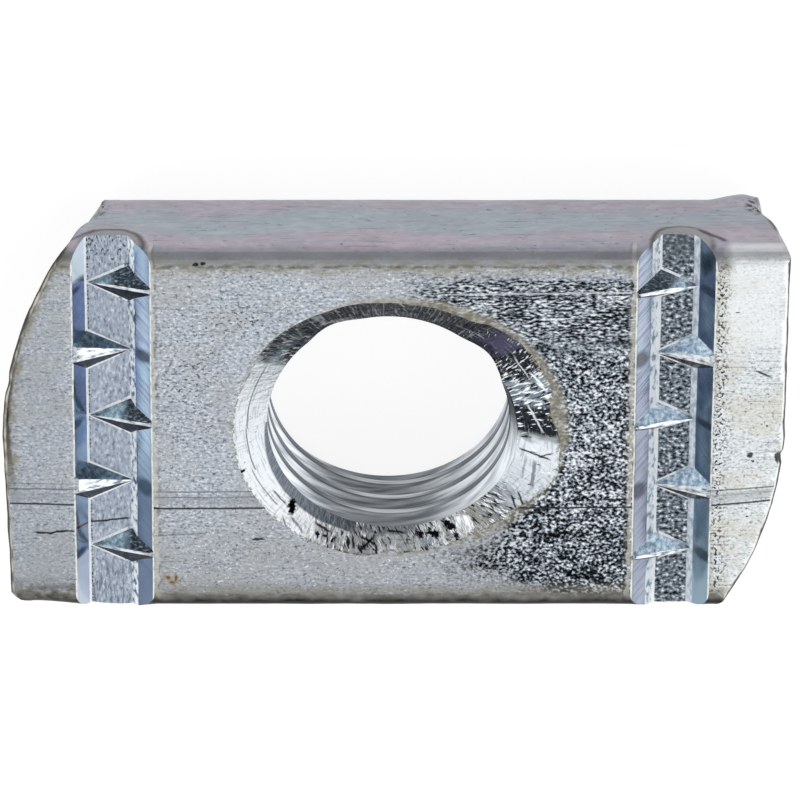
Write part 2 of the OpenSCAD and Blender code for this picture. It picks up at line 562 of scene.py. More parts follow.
def rolled_skin():
    """Bright zinc over hot-rolled bar: dull and streaked, pitted to salt and pepper right of the hole."""
    material, tree, place = start("zinc_over_rolled_steel")
    ragged = stirred(place, 0.7, 0.25)
    x, y, z = add(tree, "SeparateXYZ", {0: place}, take=None)
    rx, ry, _ = add(tree, "SeparateXYZ", {0: ragged}, take=None)
    size_x = add(tree, "Math", {0: rx}, operation="ABSOLUTE")
    size_y = add(tree, "Math", {0: y}, operation="ABSOLUTE")
    face = between(z, nut_t - 0.6, None, 0.3)
    fine = grain(place, (0.16, 0.11, 0.13), 2.0)
    cloud = grain(place, (2.6, 1.8, 2.2), 3.0, 9.0)
    base = layer((fine, (
        (0.30, "#7f8793"), (0.42, "#b1b8c2"), (0.50, "#c0c6ce"), (0.60, "#ced3d9"), (0.70, "#f0f3f5"),
    )), [
        (both(between(cloud, 0.52, None, 0.2), 0.5), "#b9b9b7"),
        # Darker towards -Y: painted shade
        (both(between(ry, None, -5.0, 5.0), 0.35), "#9a9a9c"),
    ])
    # How crowded the pits are: past a slanting line right of the hole, in a corner below it, a few left of it
    slant = add(tree, "Math", {0: ry, 1: 0.35, 2: rx}, operation="MULTIPLY_ADD")
    below = between(rounds(ragged, (4.9, -6.5), (3.2, 1.5)), None, 0.5, 1.2)
    past_slant = between(slant, 4.0, None, 3.4)
    crowd = add(tree, "Math", {0: below, 1: 0.5, 2: past_slant}, operation="MULTIPLY_ADD")
    crowd = both(crowd, between(rx, None, 13.0, 0.6), between(ry, -8.3, 7.5, 1.2), face)
    near = between(rounds(ragged, (-6.4, 5.8), (3.4, 1.6)), None, 0.6, 0.9)
    beside_hole = between(rounds(ragged, (-8.9, 2.4), (2.2, 4.2)), None, 0.6, 0.9)
    some = both(add(tree, "Math", {0: near, 1: beside_hole}, operation="ADD"), face)
    streaky = between(ry, 4.4, None, 1.6)
    even = grain(place, (0.15, 0.13, 0.17), 3.0, 3.0)
    rows = grain(place, (0.24, 0.11, 0.2), 3.0, 4.0)
    pits = add(tree, "Mix", {0: streaky, 2: even, 3: rows})
    patch = grain(place, (1.5, 0.55, 1.0), 2.0, 5.0)
    pits = add(tree, "Math", {0: patch, 1: 0.32, 2: pits}, operation="MULTIPLY_ADD")
    darker = between(ry, None, -4.6, 2.0)
    pits = add(tree, "Math", {0: darker, 1: -0.035, 2: pits}, operation="MULTIPLY_ADD")
    pitted = (pits, (
        (0.52, "#08090b"), (0.61, "#41474e"), (0.66, "#7b838b"), (0.73, "#b7bec6"), (0.83, "#fafbfc"),
    ))
    edge = add(tree, "Math", {0: pits, 1: -0.9, 2: crowd}, operation="MULTIPLY_ADD")
    pitted_here = between(edge, -0.30, None, 0.4)
    pepper = flecks(place, (0.20, 0.14, 0.2), 0.34, 2.0)
    bright_end = both(between(rx, 14.1, None, 0.4), face)
    end_colour = layer((fine, (
        (0.30, "#a9aeb0"), (0.42, "#dadfe1"), (0.55, "#e9edef"), (0.70, "#fbfcfd"),
    )), [
        (both(between(cloud, 0.55, None, 0.15), 0.45), "#d6cfb9"),
        (both(flecks(place, (0.20, 0.13, 0.2), 0.26, 12.0), 0.75), "#6b6f70"),
        (both(flecks(place, (2.6, 0.10, 0.2), 0.28, 13.0), 0.5), "#8d9193"),
        (both(between(rx, None, 14.7, 0.5), flecks(place, (0.13, 0.15, 0.2), 0.44, 14.0)), "#3a3c3c"),
    ])
    # Flat side: smooth, with faint pink and cyan bands along the bar, all kept darker than the face as
    # painted shade
    side = between(size_y, 8.98, None, 0.22)
    drift = grain(place, (5.5, 3.0, 1.6), 2.0, 4.0)
    drift = add(tree, "Math", {0: drift, 1: 5.0, 2: z}, operation="MULTIPLY_ADD")
    drift = add(tree, "MapRange", {0: drift, 1: 3.0, 2: 9.5})
    side_colour = layer((drift, (
        (0.10, "#a09fa8"), (0.24, "#a8a0aa"), (0.38, "#9da4ad"), (0.50, "#9fa9b0"), (0.62, "#a3a1ab"),
        (0.70, "#ada3ad"), (0.80, "#a19fa9"),
    )), [
        (both(flecks(place, (2.2, 1.0, 0.09), 0.32, 8.0), 0.35), "#74747c"),
        (both(flecks(place, (0.35, 1.0, 0.13), 0.18, 8.5), 0.6), "#5a5961"),
        (both(between(grain(place, (0.5, 0.5, 0.2), 2.0, 2.0), 0.55, None, 0.2), 0.25), "#c3c3cb"),
    ])
    rim = rounds(ragged, sink_centre, sink_reach)
    steady, crisp = stirred(place, 1.6, 0.035), stirred(place, 0.3, 0.10)
    end_ring = both(rounds(crisp, (0, 0), (turn_r, turn_r)), between(rx, None, 0, 0.1))
    groove_edge = groove_x - groove_w / 2
    inboard = between(x, None, 14.7, 0.5)
    to_upper_right = {0: place, 1: (0.08, 0.12, 0)}
    halo = add(tree, "VectorMath", to_upper_right, operation="DOT_PRODUCT", take="Value")
    halo = add(tree, "MapRange", {0: halo, 1: -0.5, 2: 0.4, 3: 0.10, 4: 0.65})
    colour = layer(base, [
        (both(flecks(place, (2.2, 0.09, 0.3), 0.30, 6.0), face, 0.4), "#747a84"),
        (both(flecks(place, (0.17, 0.13, 0.2), 0.24, 6.5), 0.7), "#4f5560"),
        (both(flecks(place, (0.17, 0.13, 0.2), 0.22, 7.5), 0.7), "#f2f5f7"),
        (both(some, pepper, 0.85), "#2c3037"),
        (both(pitted_here, face), pitted),
        (bright_end, end_colour),
        # Grey on the rounded long edges: painted shade where they curve away from the face
        (both(between(size_y, 8.40, None, 0.35), inboard, 0.85), "#a6a8af"),
        (both(between(size_y, 8.86, None, 0.2), 0.85), "#a6a8af"),
        (side, side_colour),
        (both(between(rx, None, -14.3, 0.6), face, 0.30), "#959ba3"),
        (both(between(rx, 14.6, None, 0.4), between(ry, 4.2, None, 1.5), face, 0.55), "#fbfdfe"),
        # Brown residue along the edge of the face, round the countersink and beside the grooves, with a
        # painted highlight on each groove edge and painted shade along the -Y edge
        (both(between(size_y, 8.0, 8.7, 0.5), face, inboard,
              flecks(place, (0.9, 0.3, 0.4), 0.62, 15.0, soft=0.3), 0.7), "#928c78"),
        (both(between(size_y, 8.30, 8.46, 0.14), face, inboard,
              flecks(place, (0.5, 0.3, 0.4), 0.56, 16.0, soft=0.2), 0.8), "#5f5c4f"),
        (both(between(rim, 0.8, 1.035, 0.05), face, halo), "#b0ac9e"),
        (both(between(rim, 0.8, 1.02, 0.05), face,
              flecks(place, (0.4, 0.4, 0.5), 0.52, 17.0, soft=0.2), 0.8), "#77715e"),
        (both(between(size_x, groove_edge - 0.24, groove_edge + 0.1, 0.16), face,
              flecks(place, (0.25, 0.5, 0.4), 0.52, 18.0, soft=0.2), 0.6), "#6f6b5d"),
        # A light line on each groove edge: painted highlight
        (both(between(size_x, groove_edge - 0.10, groove_edge + 0.1, 0.05), face, 0.5), "#d9d8cf"),
        (both(between(end_ring, 0.964, None, 0.012), face, between(y, -2.5, None, 2),
              flecks(place, (0.5, 0.5, 0.4), 0.58, 22.0, soft=0.2), 0.75), "#8f8a74"),
        (both(between(end_ring, 0.978, None, 0.008), face, between(y, -2, None, 3), 0.85), "#4a463d"),
        # Towards the -Y edge: painted shade where the rounded edge curves away, with dark residue
        (both(between(ry, None, -8.1, 1.1), face, 0.60), "#77736b"),
        (both(between(rounds(ragged, (-15.0, -9.2), (3.4, 1.8)), None, 0.7, 0.7), face,
              flecks(place, (0.5, 0.3, 0.4), 0.60, 20.0, soft=0.2), 0.85), "#3b3832"),
        (both(between(ry, None, -8.58, 0.45), face), "#1f1e1c"),
    ])
    # Rolling seams, the crack, scratches and pits
    seams = [
        ((-17.4, -3.56), (-10.4, -3.84), 0.09, 0.95, "#2b2f35"),
        ((-10.6, -3.87), (13.9, -3.80), 0.09, 0.95, "#2b2f35"),
        ((13.9, -3.74), (17.4, -3.36), 0.09, 0.95, "#2b2f35"),
        ((-17.4, -3.20), (-13.9, -3.28), 0.36, 0.3, "#868b96"),
        ((-10.5, -3.42), (-6, -3.42), 0.50, 0.3, "#868b96"),
        ((13.9, -3.38), (17.4, -3.0), 0.50, 0.45, "#a3a9ac"),
        ((-17.4, -2.82), (-13.9, -2.90), 0.06, 0.8, "#4d525b"),
        ((-10.5, -3.02), (-6, -3.0), 0.06, 0.7, "#4d525b"),
        ((-17.4, -2.55), (-13.9, -2.62), 0.04, 0.6, "#6b707a"),
        ((-10.5, -3.30), (-6, -3.28), 0.05, 0.6, "#4d525b"),
        ((13.9, -2.98), (17.4, -2.66), 0.06, 0.9, "#44484e"),
        ((13.9, -3.24), (17.4, -2.92), 0.04, 0.6, "#7b8085"),
        ((9.0, -3.4), (10.4, -3.4), 0.09, 0.8, "#25282c"),
        ((-10.6, -5.3), (-8.3, -5.15), 0.06, 0.6, "#4f5560"),
        ((2.6, 7.0), (10.4, 7.1), 0.07, 0.7, "#dfe3e6"),
        ((2.8, 6.9), (10.4, 6.98), 0.05, 0.7, "#23272c"),
    ]
    for begin, end, width, strength, code in seams:
        colour = layer(colour, [(both(stroke(steady, begin, end, width), face, strength), code)])
    scratches = [
        ((-15.9, -5.12), (-13.9, -5.0), 0.11, "#1d1c1c"), ((15.9, 3.2), (16.55, 2.85), 0.10, "#3b3a36"),
    ]
    for begin, end, width, code in scratches:
        colour = layer(colour, [(both(stroke(ragged, begin, end, width), face, 0.95), code)])
    spots = [
        ((-8.55, 8.50), (0.16, 0.09), "#121212"), ((-8.20, 8.52), (0.14, 0.08), "#121212"),
        ((15.75, -1.10), (0.16, 0.14), "#161616"), ((-5.95, -5.45), (0.26, 0.07), "#23262b"),
        ((-15.6, 7.6), (0.30, 0.14), "#6d6a5b"), ((17.0, -1.25), (0.16, 0.28), "#0d0d0d"),
        ((-17.0, 0.9), (0.14, 0.5), "#37362f"), ((-17.0, 3.6), (0.16, 0.6), "#55523f"),
        ((16.47, 0.40), (0.06, 0.05), "#2a2a28"), ((15.70, -4.30), (0.07, 0.04), "#3a3a36"),
        ((15.90, -1.42), (0.09, 0.05), "#2a2a28"), ((15.05, 6.10), (0.10, 0.04), "#55544c"),
    ]
    for centre, reach, code in spots:
        spot = between(rounds(crisp, centre, reach), None, 1, 0.3)
        colour = layer(colour, [(both(spot, face, 0.9), code)])
    rust = [((-10.08, -7.46), (0.10, 0.09)), ((-9.86, -7.68), (0.14, 0.08)), ((-9.72, -7.50), (0.07, 0.11))]
    for centre, reach in rust:
        blot = rounds(ragged, centre, reach)
        colour = layer(colour, [
            (both(between(blot, None, 2.2, 2.0), face, 0.55), "#a39672"),
            (both(between(blot, None, 1, 0.8), face, 0.85), "#6e4a28"),
        ])
    # Metal pushed out at the grooves' ends: a grey-brown arch with a dark rim on the flat side, painted shade
    # of the bulge, and dark flecks at a torn corner
    flank = add(tree, "CombineXYZ", {0: x, 1: z, 2: 0.0})
    flank = stirred(flank, 0.5, 0.08)
    arches = [
        ((groove_x + 0.35, 5.45), (1.42, 1.38), (14.5 + 1.45, 2.1), (0.45, 0.7)),
        ((-groove_x, 5.45), (1.52, 1.05), (-13.0, 2.2), (0.45, 0.9)),
    ]
    for centre, reach, torn_place, torn_reach in arches:
        arch = rounds(flank, centre, reach)
        torn_corner = rounds(flank, torn_place, torn_reach)
        colour = layer(colour, [
            (both(between(arch, 0.2, 0.95, 0.2), side, 0.55), "#88867f"),
            (both(between(arch, 0.86, 1.0, 0.14), side, between(cloud, 0.40, None, 0.2), 0.85), "#4d4c4c"),
            (both(between(torn_corner, None, 1, 0.5), side, between(y, 0, None, 0.1),
                  flecks(place, (0.3, 0.3, 0.2), 0.56, 21.0), 0.85), "#3d3d3f"),
        ])
    upper, rolled_edge = both(side, between(y, 0, None, 0.1)), between(y, 8.7, None, 0.3)
    # Dark streaks beside the grooves' ends, on the flat side and its rolled edge: painted shade
    colour = layer(colour, [
        (both(stroke(flank, (-12.7, 1.4), (-14.15, 5.0), 0.34, 0.2), upper, 0.85), "#47443f"),
        (both(stroke(flank, (15.95, 1.9), (17.15, 5.4), 0.16, 0.1), upper, 0.7), "#55534f"),
        (both(stroke(flank, (13.3, 4.45), (14.5, 5.2), 0.20, 0.12), rolled_edge, 0.85), "#46464b"),
        (both(stroke(flank, (-14.2, 5.3), (-12.9, 4.45), 0.14, 0.12), rolled_edge, 0.7), "#4f4c48"),
    ])
    height = add(tree, "Mix", {0: pitted_here, 2: fine, 3: pits})
    roughness = add(tree, "MapRange", {0: cloud, 1: 0.3, 2: 0.7, 3: 0.36, 4: 0.50})
    plate(colour, roughness, height, 0.012)
    return material


def sheared_end():
    """Cropped ends: a streaked sheared band over torn metal, with brown dirt along the face's edge."""
    material, tree, place = start("zinc_over_sheared_steel")
    x, _, z = add(tree, "SeparateXYZ", {0: place}, take=None)
    streak = grain(place, (0.30, 0.30, 3.0), 3.0)
    grit = grain(place, (0.34, 0.34, 0.40), 3.0, 2.0)
    wavy = {0: grain(place, (3.0, 3.0, 3.0)), 1: 2.0, 2: z}
    wavy = add(tree, "Math", wavy, operation="MULTIPLY_ADD")
    torn = between(wavy, None, nut_t - 0.9, 0.3)
    brown = both(flecks(place, (0.6, 0.6, 0.35), 0.50, 3.0, soft=0.2), between(z, nut_t - 0.5, None, 0.4))
    colour = (streak, ((0.30, "#7b7e82"), (0.46, "#989ca0"), (0.58, "#abafb2"), (0.70, "#ced1d2")))
    colour = layer(colour, [
        (both(torn, 0.85), (grit, (
            (0.36, "#4b4d50"), (0.47, "#797c7f"), (0.56, "#94979a"), (0.68, "#b9bcbe"),
        ))),
        (both(flecks(place, (0.5, 0.5, 0.4), 0.34, 5.0, soft=0.2), 0.5), "#6d6656"),
        (both(between(z, nut_t - 0.03, None, 0.02), between(x, None, 0, 0.1), 0.8), "#b5af9b"),
        (both(brown, between(x, None, 0, 0.1), 0.7), "#5a5546"),
        (both(between(z, nut_t - 0.025, None, 0.02), between(x, 0, None, 0.1)), "#d6d7d1"),
        (both(between(z, nut_t - 0.34, nut_t - 0.04, 0.03), 0.9), "#3d3a33"),
    ])
    plate(colour, 0.42, streak, 0.03)
    return material


def coined_wall():
    """Groove walls: pressed against a polished die, so nearly a mirror, with the bluish passivate. Most of
    their
    colour is painted reflection: a tone for each wall, light and dark zones, and dark spots beside the teeth.
    """
    material, tree, place = start("zinc_over_coined_wall")
    x, y, _ = add(tree, "SeparateXYZ", {0: place}, take=None)
    along = add(tree, "MapRange", {0: x, 1: -nut_l / 2, 2: nut_l / 2})
    # Each wall's own tone is a painted reflection of what faces it
    walls = ((-nut_l / 2, "#788db0"), (-groove_x, "#a4b8cc"), (0.0, "#b3bac9"), (groove_x, "#4f5f76"))
    walls = [(start_x / nut_l + 0.5, code) for start_x, code in walls]
    mirror = add(tree, "ValToRGB", {0: along}, walls)
    mirror.node.color_ramp.interpolation = "CONSTANT"
    turned = add(tree, "Mapping", {0: place, 2: (0.75, 0, 0)})
    hatch = grain(turned, (3.0, 1.6, 0.10), 2.0)
    cloud = grain(place, (1.0, 2.2, 1.0), 2.0, 4.0)
    colour = layer(mirror, [
        (both(between(hatch, 0.54, None, 0.1), 0.45), "#5f6f8b"),
        (both(between(cloud, 0.54, None, 0.2), 0.3), "#a9c3d2"),
        (both(between(cloud, None, 0.42, 0.2), 0.3), "#8f8fae"),
    ])
    # Light and dark zones along the walls: painted reflections; where the painted light lies the metal turns
    # partly diffuse
    left = between(x, None, -groove_x, 0.1)
    light = both(left, between(y, 7.5, None, 0.3))
    colour = layer(colour, [
        (light, "#dceaf3"),
        (both(between(x, -groove_x, 0, 0.1), between(y, None, -1.9, 3.0), 0.85), "#54637a"),
        (both(between(x, groove_x, None, 0.1), between(y, None, -3.4, 3.0), 0.85), "#8fa5b2"),
        (both(between(x, 0, groove_x, 0.1), between(y, None, -0.6, 3.0), 0.5), "#868b99"),
        (both(left, between(y, -5.9, -0.9, 0.4), 0.7), "#b4c4d4"),
        (both(left, between(y, None, -6.5, 0.3), 0.9), "#c3ccda"),
    ])
    # Beside each tooth's tip, a painted reflection of its dark flank in the far wall
    ragged = stirred(place, 0.5, 0.08)
    for spot, reach, code in (
        ((-10.92, 3.75), (0.40, 0.34), "#1f2f3c"), ((-10.95, -2.95), (0.40, 0.42), "#26384a"),
        ((10.88, 3.60), (0.34, 0.42), "#57515c"), ((10.88, -3.10), (0.34, 0.42), "#4c4a58"),
        ((-13.95, 7.05), (0.30, 0.16), "#1f2b3a"), ((-13.95, 0.35), (0.30, 0.24), "#26354a"),
        ((-13.95, -6.35), (0.30, 0.20), "#1f2b3a"), ((13.85, 6.95), (0.45, 0.24), "#333a4c"),
        ((13.85, 0.25), (0.45, 0.20), "#26303f"), ((13.85, -6.45), (0.45, 0.30), "#2a3a4a"),
    ):
        colour = layer(colour, [(both(between(rounds(ragged, spot, reach), None, 1, 0.6), 0.8), code)])
    colour = layer(colour, [(stroke(place, (-14.1, -4.93), (-13.3, -5.2), 0.10), "#8a4a22")])
    low_painted_light = both(left, between(y, None, -6.5, 0.3), 0.7)
    light = add(tree, "Math", {0: low_painted_light, 1: light}, operation="ADD")
    metal = add(tree, "MapRange", {0: light, 3: 1.0, 4: 0.25})
    plate(colour, 0.22, hatch, 0.004, metal)
    return material


def coined_floor():
    """Groove floors: fine and grey on the left, pitted black and white on the right."""
    material, tree, place = start("zinc_over_coined_floor")
    x, y, _ = add(tree, "SeparateXYZ", {0: place}, take=None)
    fine = grain(place, (0.10, 0.22, 0.13), 3.0)
    colour = (fine, ((0.30, "#7a8493"), (0.44, "#a4aebd"), (0.56, "#b2bbc9"), (0.70, "#d6dde6")))
    across = {0: place, 1: (1, -math.radians(0.5), 0)}
    across = add(tree, "VectorMath", across, operation="DOT_PRODUCT", take="Value")
    left_edge = between(across, -13.46, -13.32, 0.03)
    pits = grain(place, (0.19, 0.16, 0.2), 3.0, 3.0)
    pitted = (pits, (
        (0.34, "#14171b"), (0.44, "#4f575f"), (0.52, "#7a838c"), (0.59, "#a3abb3"), (0.68, "#e9edf1"),
    ))
    ends = between(y, 8.1, None, 0.8)
    colour = layer(colour, [
        (both(left_edge, flecks(place, (0.09, 0.09, 0.2), 0.50, 5.0)), "#1b1e23"),
        (both(flecks(place, (0.09, 0.22, 0.2), 0.36, 6.0), between(y, 7.6, None, 1.4), 0.85), "#252a31"),
        (both(flecks(place, (0.11, 0.8, 0.2), 0.42, 7.0), between(y, None, -7.2, 1.2), 0.6), "#5b6675"),
        (between(x, 0, None, 0.1), pitted),
        (both(between(x, 0, None, 0.1), ends, 0.5), "#5f686e"),
        (stroke(stirred(place, 0.7, 0.1), (-13.5, -5.16), (-11.7, -4.97), 0.08), "#33251e"),
    ])
    plate(colour, 0.36, fine, 0.010)
    return material


def painted_foot_highlight():
    """Strips along the walls' feet, the grooves' top edges and the teeth's roots, painted nearly white as
    highlights, with painted glints along the inner feet.
    """
    material, tree, place = start("zinc_with_painted_edge_highlight")
    x, _, z = add(tree, "SeparateXYZ", {0: place}, take=None)
    ripple = grain(place, (0.20, 0.34, 0.2), 2.0)
    # Painted glints: dark and white grains along the inner feet
    sparkle = (ripple, (
        (0.34, "#46566a"), (0.41, "#94a6ba"), (0.47, "#c9d5e0"), (0.52, "#f2f6f9"), (0.58, "#ffffff"),
    ))
    # The grooves' top edges, coloured as a painted highlight
    top = between(z, nut_t - 0.16, None, 0.04)
    half = groove_w / 2
    left_inner = between(x, -groove_x + 0.3, -groove_x + half, 0.05)
    right_inner = between(x, groove_x - half, groove_x - 0.4, 0.05)
    right_outer = between(x, groove_x + 0.3, groove_x + half, 0.05)
    low = between(z, None, nut_t - 0.3, 0.05)
    # A wavy white line by the right inner foot: painted highlight
    highlight_line = add(tree, "SeparateXYZ", {0: stirred(place, 0.45, 0.24)})
    highlight_line = between(highlight_line, groove_x - 0.66, groove_x - 0.42, 0.03)
    colour = layer((ripple, ((0.3, "#dfe5ea"), (0.5, "#ffffff"))), [
        (both(left_inner, low), sparkle),
        (both(right_inner, low), sparkle),
        (both(right_inner, low, 0.35), "#b4c0cc"),
        (both(right_outer, low, 0.9), (ripple, ((0.35, "#8f9dab"), (0.5, "#b6c2cd"), (0.65, "#d3dce4")))),
        (both(highlight_line, low), "#f6fafc"),
        (top, (ripple, ((0.3, "#b9b8a6"), (0.5, "#f4f4ec")))),
    ])
    plate(colour, 0.42, ripple, 0.02, 0.15)
    return material


def tooth_flank():
    """Tooth flanks: sheared blue-grey, torn and dark toward the root of the teeth on the inner walls.
    The flanks that face -Y carry painted shade.
    """
    material, tree, place = start("zinc_over_tooth_flank")
    x, y, _ = add(tree, "SeparateXYZ", {0: place}, take=None)
    normal = add(tree, "TexCoord", take="Normal")
    facing_y = add(tree, "SeparateXYZ", {0: normal}, take=1)
    size_x = add(tree, "Math", {0: x}, operation="ABSOLUTE")
    fine = grain(place, (0.2, 0.2, 0.2), 3.0)
    left = between(x, None, 0, 0.1)
    colour = layer((fine, ((0.34, "#728699"), (0.50, "#9aaebf"), (0.66, "#c2d2dc"))), [
        (left, (fine, ((0.34, "#5d7384"), (0.50, "#7f97a6"), (0.66, "#a9bdc8")))),
    ])
    # The first tooth of each row is torn over most of its flank, the next two on the left only at the wall
    first = between(y, 5.4, None, 0.1)
    torn_x = add(tree, "MapRange", {0: first, 3: groove_x - 0.40, 4: groove_x + 0.10})
    torn_x = add(tree, "Math", {0: torn_x, 1: size_x}, operation="SUBTRACT")
    where = add(tree, "Math", {0: left, 1: first}, operation="MAXIMUM")
    torn = (grain(place, (0.20, 0.08, 0.09), 3.0, 2.0), (
        (0.40, "#0e1013"), (0.50, "#23282e"), (0.60, "#4d565f"), (0.74, "#98a2aa"),
    ))
    # Flanks facing -Y: painted shade
    downward_painted_shade = between(facing_y, None, -0.2, 0.1)
    colour = layer(colour, [
        (both(between(torn_x, 0, None, 0.5), where, 0.9), torn),
        (both(downward_painted_shade, left), (fine, ((0.36, "#0b0c14"), (0.52, "#1f2233"), (0.66, "#414962")))),
        (both(downward_painted_shade, between(x, 0, None, 0.1)),
         (fine, ((0.36, "#252224"), (0.52, "#4f494d"), (0.66, "#7d7475")))),
    ])
    plate(colour, 0.26, fine, 0.012)
    return material


def tooth_crest():
    """Tooth crests: flat, rubbed bright where the die left them."""
    material, _, place = start("zinc_over_tooth_crest")
    fine = grain(place, (0.5, 0.16, 0.2), 3.0)
    colour = (fine, ((0.34, "#6f757c"), (0.44, "#b2b7bc"), (0.58, "#dadddf")))
    plate(layer(colour), 0.40, fine, 0.006)
    return material


def torn_countersink():
    """Countersink: painted bright on the left and painted dark along the top, as reflection and shade, torn
    into chips and chatter on the right.
    Its pattern runs in degrees round the hole and in shares of the way from the bore to the face."""
    material, tree, place = start("zinc_over_torn_countersink")
    x, y, z = add(tree, "SeparateXYZ", {0: place}, take=None)
    x = add(tree, "Math", {0: x, 1: bore_x}, operation="SUBTRACT")
    turn = add(tree, "Math", {0: y, 1: x}, operation="ARCTAN2")
    turn = add(tree, "Math", {0: turn}, operation="DEGREES")
    rise = add(tree, "MapRange", {0: z, 1: nut_t - sink_depth, 2: nut_t, 3: 0.0, 4: 1.0})
    mm_per_degree = math.radians(1) * (bore_r + 0.8)
    arc = add(tree, "Math", {0: turn, 1: mm_per_degree}, operation="MULTIPLY")
    out = add(tree, "Math", {0: rise, 1: 1.5}, operation="MULTIPLY")
    polar = add(tree, "CombineXYZ", {0: arc, 1: out, 2: 0.0})
    polar = stirred(polar, 0.5, 0.06)
    ragged, broken = stirred(place, 0.3, 0.06), stirred(place, 0.14, 0.16)
    slanted = add(tree, "Mapping", {0: polar, 2: (0, 0, 0.5)})
    sway = grain(polar, (0.5, 0.8, 1), 2.0, 1.0)
    wander = add(tree, "Math", {0: sway, 1: 10.0, 2: turn}, operation="MULTIPLY_ADD")
    wander = add(tree, "Math", {0: wander, 1: 5.0}, operation="SUBTRACT")
    share = add(tree, "MapRange", {0: wander, 1: -180.0, 2: 180.0})

    def around(stops):
        return layer((share, [((a + 180) / 360, code) for a, code in stops]))

    def chip(start, stop, low, high, strength, code, soft=0.1):
        mask = both(between(wander, start, stop, 1.0), between(rise, low, high, soft), strength)
        return mask, code

    # Colour by angle round the hole: painted reflection bright on the left, painted shade dark along the top,
    # broken by chatter on the right
    base = around([
        (-180, "#c6cacd"), (-110, "#dcdddf"), (-102, "#dadcde"), (-72, "#dfe1e3"), (-62, "#dfe1e3"),
        (-54, "#9c9a93"), (-34, "#8f9399"), (-29, "#c8ced3"), (-6, "#d2d7db"), (-2, "#1e2227"),
        (9, "#272b32"),
        (12, "#646f79"), (21, "#808c95"), (24, "#2b2f35"), (36, "#2b2e34"), (38, "#474459"), (46, "#403f53"),
        (51, "#2a2d32"), (144, "#30353b"), (148, "#cdd1d4"), (180, "#c6cacd"),
    ])
    torn = around([
        (-180, "#202020"), (-125, "#505050"), (-107, "#e8e8e8"), (-98, "#d8d8d8"), (-84, "#a8a8a8"),
        (-74, "#e4e4e4"), (-60, "#a0a0a0"), (-48, "#b8b8b8"), (-38, "#f0f0f0"), (-31, "#7c7c7c"),
        (-8, "#7c7c7c"), (0, "#b8b8b8"), (20, "#d8d8d8"), (26, "#d8d8d8"), (36, "#c0c0c0"), (38, "#a0a0a0"),
        (60, "#989898"), (120, "#a8a8a8"), (144, "#c0c0c0"), (148, "#404040"), (180, "#202020"),
    ])
    # The painted dark band between the bore and the cone, shade standing in for a steep wall, is widest at
    # the lower left and runs out to both sides
    off = add(tree, "Math", {0: turn, 1: 105.0}, operation="ADD")
    off = add(tree, "Math", {0: off, 1: 80.0}, operation="DIVIDE")
    off = add(tree, "Math", {0: off, 1: off}, operation="MULTIPLY")
    band = add(tree, "MapRange", {0: off, 1: 0.0, 2: 1.2, 3: 0.42, 4: -0.08})
    band = add(tree, "Math", {0: band, 1: rise}, operation="SUBTRACT")
    band = both(between(band, 0, None, 0.05), between(wander, None, -106, 3))
    hatch = grain(polar, (0.10, 1.2, 1), 2.0, 6.0)
    fine = grain(slanted, (0.07, 0.5, 1), 2.0, 8.0)
    colour = layer(base, [
        (both(flecks(polar, (1.0, 0.09, 1), 0.38, 4.0), 0.5), "#8e959b"),
        chip(-107, -76, -9, 0.42, 0.7, "#959aa0"),
        (both(between(wander, -176, -97, 8), between(rise, 0.62, None, 0.1),
              between(hatch, 0.54, None, 0.08), between(sway, 0.50, None, 0.1), 0.35), "#6d747b"),
        (both(between(wander, 50, 145, 6), between(hatch, 0.50, None, 0.12), 0.75), "#74777b"),
        (both(between(wander, 50, 145, 6), between(hatch, 0.62, None, 0.05), 0.8), "#c3c7cb"),
        (both(flecks(slanted, (0.11, 0.40, 1), 0.12, 3.0, torn, 0.05, 3.0), 0.95), "#0e1013"),
        (both(flecks(slanted, (0.09, 0.44, 1), 0.07, 9.0, torn, 0.05, 3.0), 0.9), "#eef1f3"),
        (both(between(wander, -96, -30, 6), between(fine, 0.53, None, 0.1), 0.4), "#54585e"),
        chip(36, 46, 0.25, 0.98, 0.4, "#5f5c78"),
        chip(46, 60, 0.39, 0.43, 0.9, "#aab0b6", 0.03),
        chip(117.5, 119, 0.35, 1.3, 0.9, "#c9cdd0"),
        chip(130, 149, 0.30, 0.58, 0.3, "#8a9ba5"),
        # Thin dark arcs where the thread runs out: painted shade under its steps
        chip(149, 181, 0.57, 0.60, 0.95, "#3f464c", 0.03),
        chip(-181, -160, 0.60, 0.63, 0.95, "#3f464c", 0.03),
        chip(-161, -142, 0.68, 0.71, 0.8, "#4b5258", 0.03),
        (both(flecks(place, (0.12, 0.10, 0.2), 0.16, 7.0), 0.7), "#6d747b"),
        (both(between(rise, 0.93, None, 0.08), flecks(place, (0.25, 0.25, 0.3), 0.38, 3.0), 0.7), "#b7b29e"),
        (both(between(rise, 0.96, None, 0.04), flecks(place, (0.25, 0.25, 0.3), 0.50, 5.0), 0.8), "#6f6a57"),
        (band, (fine, ((0.36, "#585d64"), (0.5, "#656b72"), (0.66, "#767c83")))),
    ])
